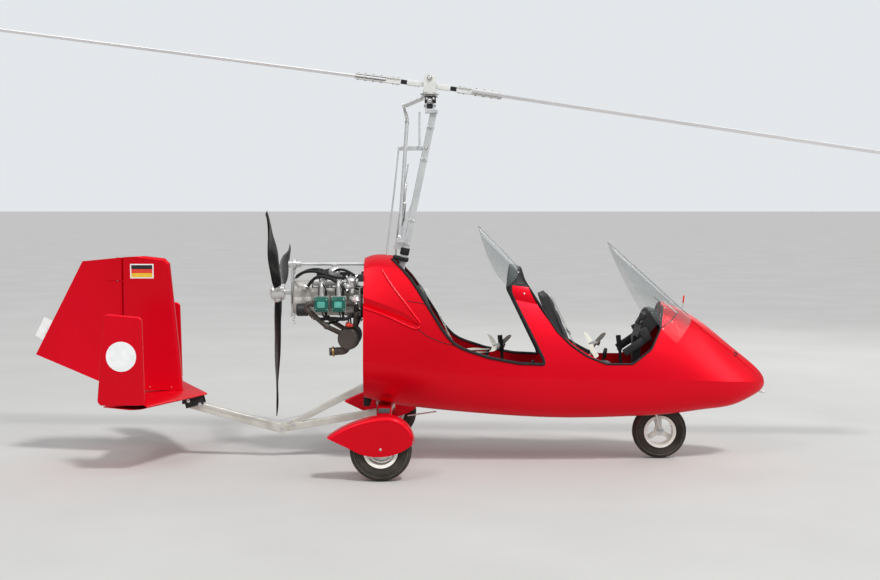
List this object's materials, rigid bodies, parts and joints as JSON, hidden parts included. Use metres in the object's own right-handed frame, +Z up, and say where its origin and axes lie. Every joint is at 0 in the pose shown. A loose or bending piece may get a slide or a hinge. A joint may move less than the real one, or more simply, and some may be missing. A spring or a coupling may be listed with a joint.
{
  "type": "tandem open-cockpit gyrocopter",
  "caption": "Red two-seat open gyrocopter on tricycle gear: free rotor on a raked mast, pusher propeller, boom-mounted tail with rudder, steered nose wheel.",
  "frame": {"origin": "on the floor, at the middle of the aircraft's bounding box, under the rotor's teeter bolt", "axes": "+X forward towards the nose, +Y to port, +Z up"},
  "size_m": [8.3232, 1.852, 3.1397],
  "materials": {
    "red_gelcoat": "glossy metallic red",
    "black_trim": "satin black",
    "black_cushion": "black upholstery",
    "black_composite": "semi-gloss black",
    "frame_steel": "pale satin coat",
    "bright_alloy": "satin",
    "bare_steel": "satin",
    "engine_alloy": "cast",
    "green_cover": "gloss",
    "exhaust_steel": "heat stained",
    "clear_screen": "clear",
    "tyre_rubber": "matt",
    "white_rim": "gloss white",
    "white_plate": "white"
  },
  "bodies": {
    "airframe": {"fuselage_tub": "red_gelcoat", "rear_cowl": "red_gelcoat", "mid_hoop": "red_gelcoat", "hoop_lining": "black_trim", "firewall": "bright_alloy", "floor_board": "black_trim", "seat_bases": "black_trim", "seat_front": "black_cushion", "seat_rear": "black_cushion", "instrument_panel": "black_trim", "control_sticks": "black_trim", "nose_well": "black_trim", "keel_frame": "frame_steel", "keel_saddles": "black_trim", "mast": "bright_alloy", "control_rods": "bright_alloy", "windscreen_front": "clear_screen", "windscreen_rear": "clear_screen", "crankcase": "engine_alloy", "cylinders": "engine_alloy", "valve_covers": "green_cover", "intake_manifold": "bright_alloy", "gearbox": "engine_alloy", "prerotator_drive": "bright_alloy", "exhaust_system": "exhaust_steel", "stabilizer": "red_gelcoat", "side_fin_left": "red_gelcoat", "side_fin_right": "red_gelcoat", "centre_fin": "red_gelcoat", "tail_bracket": "black_trim", "gear_bow": "red_gelcoat", "main_axles": "bare_steel", "fender_left": "red_gelcoat", "fender_right": "red_gelcoat"},
    "roll_block": {"head_block": "black_trim"},
    "pitch_cradle": {"head_cradle": "bright_alloy"},
    "rotor_hub": {"hub_tower": "bare_steel"},
    "rotor": {"hub_bar": "bright_alloy", "rotor_blade_front": "bright_alloy", "rotor_blade_rear": "bright_alloy"},
    "propeller": {"prop_hub": "bright_alloy", "prop_blades": "black_composite"},
    "rudder": {"rudder": "red_gelcoat", "trim_tab": "white_plate"},
    "nose_fork": {"nose_fork": "bare_steel"},
    "nose_wheel": {"nose_wheel_rim": "white_rim", "nose_wheel_tyre": "tyre_rubber"},
    "wheel_left": {"wheel_left_rim": "white_rim", "wheel_left_tyre": "tyre_rubber"},
    "wheel_right": {"wheel_right_rim": "white_rim", "wheel_right_tyre": "tyre_rubber"}
  },
  "joints": [
    {"name": "head_roll", "type": "hinge", "parent": "airframe", "child": "roll_block", "pos_m": [0, 0, 2.447], "axis": [1, 0, 0], "range_deg": [-7, 7]},
    {"name": "head_pitch", "type": "hinge", "parent": "roll_block", "child": "pitch_cradle", "pos_m": [0, 0, 2.482], "axis": [0, -1, 0], "range_deg": [0, 18]},
    {"name": "rotor_spin", "type": "hinge", "parent": "pitch_cradle", "child": "rotor_hub", "pos_m": [0, 0, 2.55], "axis": [0, 0, 1], "continuous": true},
    {"name": "rotor_teeter", "type": "hinge", "parent": "rotor_hub", "child": "rotor", "pos_m": [0, 0, 2.637], "axis": [0, -1, 0], "range_deg": [0, 16]},
    {"name": "propeller_spin", "type": "hinge", "parent": "airframe", "child": "propeller", "pos_m": [-1.054, 0, 1.163], "axis": [1, 0, 0], "continuous": true},
    {"name": "rudder_hinge", "type": "hinge", "parent": "airframe", "child": "rudder", "pos_m": [-2.155, 0, 0.9], "axis": [0, 0, 1], "range_deg": [-28, 28]},
    {"name": "nose_steer", "type": "hinge", "parent": "airframe", "child": "nose_fork", "pos_m": [1.604, 0, 0.189], "axis": [-0.2368, 0, 0.9715], "range_deg": [-24, 24]},
    {"name": "nose_wheel_spin", "type": "hinge", "parent": "nose_fork", "child": "nose_wheel", "pos_m": [1.604, 0, 0.189], "axis": [0, 1, 0], "continuous": true},
    {"name": "wheel_left_spin", "type": "hinge", "parent": "airframe", "child": "wheel_left", "pos_m": [-0.308, 0.85, 0.2], "axis": [0, 1, 0], "continuous": true},
    {"name": "wheel_right_spin", "type": "hinge", "parent": "airframe", "child": "wheel_right", "pos_m": [-0.308, -0.85, 0.2], "axis": [0, 1, 0], "continuous": true}
  ],
  "couplings": [
    {"joint": "nose_steer", "follows": "rudder_hinge", "ratio": -0.85}
  ]
}
